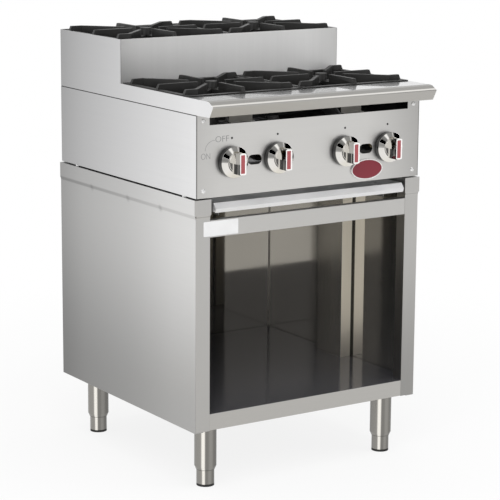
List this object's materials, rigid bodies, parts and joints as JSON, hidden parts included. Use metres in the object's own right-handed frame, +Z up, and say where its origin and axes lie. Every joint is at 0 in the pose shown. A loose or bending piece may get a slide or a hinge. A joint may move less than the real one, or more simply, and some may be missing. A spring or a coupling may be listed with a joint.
{
  "type": "step-up gas range on cabinet base",
  "caption": "Open-burner gas range with a raised rear step, on an open cabinet base with adjustable legs, turning knobs, lift-off grates and a pull-out crumb tray.",
  "frame": {"origin": "centre of the bounding box's footprint, on the floor", "axes": "+X to the right seen from the front, +Y to the back, +Z up"},
  "size_m": [0.619, 0.709, 1.0023],
  "materials": {
    "satin_stainless": "fine horizontal satin brushing",
    "polished_stainless": "bright polish with faint sheet waves",
    "tray_stainless": "bright satin",
    "galvanised_steel": "dull zinc",
    "leg_steel": "satin turned tube",
    "fastener_steel": "bright plated",
    "knob_chrome": "mirror plated",
    "grate_iron": "black enamelled casting, satin",
    "burner_iron": "bare grey casting, rough",
    "pipe_black": "black oxide pipe",
    "valve_brass": "turned brass",
    "pad_rubber": "matte black",
    "insert_red": "red with a pale border",
    "badge_red": "red enamel with a bright rim"
  },
  "bodies": {
    "range_body": {"left_side_panel": "satin_stainless", "right_side_panel": "satin_stainless", "cabinet_back": "polished_stainless", "cabinet_shelf": "polished_stainless", "left_front_post": "satin_stainless", "right_front_post": "satin_stainless", "middle_posts": "polished_stainless", "front_rail": "satin_stainless", "legs": "leg_steel", "body_spacers": "fastener_steel", "left_body_side": "satin_stainless", "right_body_side": "satin_stainless", "body_back": "satin_stainless", "control_panel": "satin_stainless", "panel_screws": "fastener_steel", "badge_plate": "badge_red", "front_deck": "polished_stainless", "deck_nose": "satin_stainless", "riser_front": "polished_stainless", "riser_top": "polished_stainless", "left_skirt": "satin_stainless", "right_skirt": "satin_stainless", "left_tray_runner": "galvanised_steel", "right_tray_runner": "galvanised_steel", "manifold_pipe": "pipe_black", "supply_pipe": "pipe_black", "gas_valves": "valve_brass", "pilot_valves": "valve_brass", "pilot_tubes": "valve_brass", "burner_supports": "galvanised_steel", "burner_caps": "burner_iron", "front_left_burner": "burner_iron", "front_right_burner": "burner_iron", "rear_left_burner": "burner_iron", "rear_right_burner": "burner_iron"},
    "left_outer_knob": {"left_outer_knob": "knob_chrome", "left_outer_insert": "insert_red", "left_outer_stem": "valve_brass"},
    "left_inner_knob": {"left_inner_knob": "knob_chrome", "left_inner_insert": "insert_red", "left_inner_stem": "valve_brass"},
    "right_inner_knob": {"right_inner_knob": "knob_chrome", "right_inner_insert": "insert_red", "right_inner_stem": "valve_brass"},
    "right_outer_knob": {"right_outer_knob": "knob_chrome", "right_outer_insert": "insert_red", "right_outer_stem": "valve_brass"},
    "crumb_tray": {"crumb_tray": "tray_stainless"},
    "front_left_grate": {"front_left_grate": "grate_iron"},
    "front_right_grate": {"front_right_grate": "grate_iron"},
    "rear_left_grate": {"rear_left_grate": "grate_iron"},
    "rear_right_grate": {"rear_right_grate": "grate_iron"},
    "front_left_foot": {"front_left_foot": "leg_steel", "front_left_pad": "pad_rubber"},
    "front_right_foot": {"front_right_foot": "leg_steel", "front_right_pad": "pad_rubber"},
    "rear_left_foot": {"rear_left_foot": "leg_steel", "rear_left_pad": "pad_rubber"},
    "rear_right_foot": {"rear_right_foot": "leg_steel", "rear_right_pad": "pad_rubber"}
  },
  "joints": [
    {"name": "left_outer_knob_turn", "type": "hinge", "parent": "range_body", "child": "left_outer_knob", "pos_m": [-0.2135, -0.2905, 0.749], "axis": [0, -1, 0], "range_deg": [0, 90]},
    {"name": "left_inner_knob_turn", "type": "hinge", "parent": "range_body", "child": "left_inner_knob", "pos_m": [-0.0925, -0.2905, 0.749], "axis": [0, -1, 0], "range_deg": [0, 90]},
    {"name": "right_inner_knob_turn", "type": "hinge", "parent": "range_body", "child": "right_inner_knob", "pos_m": [0.0925, -0.2905, 0.749], "axis": [0, -1, 0], "range_deg": [0, 90]},
    {"name": "right_outer_knob_turn", "type": "hinge", "parent": "range_body", "child": "right_outer_knob", "pos_m": [0.2135, -0.2905, 0.749], "axis": [0, -1, 0], "range_deg": [0, 90]},
    {"name": "crumb_tray_slide", "type": "slide", "parent": "range_body", "child": "crumb_tray", "axis": [0, -1, 0], "range_m": [0, 0.45]},
    {"name": "front_left_grate_lift", "type": "slide", "parent": "range_body", "child": "front_left_grate", "axis": [0, 0, 1], "range_m": [0, 0.12]},
    {"name": "front_right_grate_lift", "type": "slide", "parent": "range_body", "child": "front_right_grate", "axis": [0, 0, 1], "range_m": [0, 0.12]},
    {"name": "rear_left_grate_lift", "type": "slide", "parent": "range_body", "child": "rear_left_grate", "axis": [0, 0, 1], "range_m": [0, 0.12]},
    {"name": "rear_right_grate_lift", "type": "slide", "parent": "range_body", "child": "rear_right_grate", "axis": [0, 0, 1], "range_m": [0, 0.12]},
    {"name": "front_left_foot_adjust", "type": "slide", "parent": "range_body", "child": "front_left_foot", "axis": [0, 0, -1], "range_m": [0, 0.03]},
    {"name": "front_right_foot_adjust", "type": "slide", "parent": "range_body", "child": "front_right_foot", "axis": [0, 0, -1], "range_m": [0, 0.03]},
    {"name": "rear_left_foot_adjust", "type": "slide", "parent": "range_body", "child": "rear_left_foot", "axis": [0, 0, -1], "range_m": [0, 0.03]},
    {"name": "rear_right_foot_adjust", "type": "slide", "parent": "range_body", "child": "rear_right_foot", "axis": [0, 0, -1], "range_m": [0, 0.03]}
  ]
}
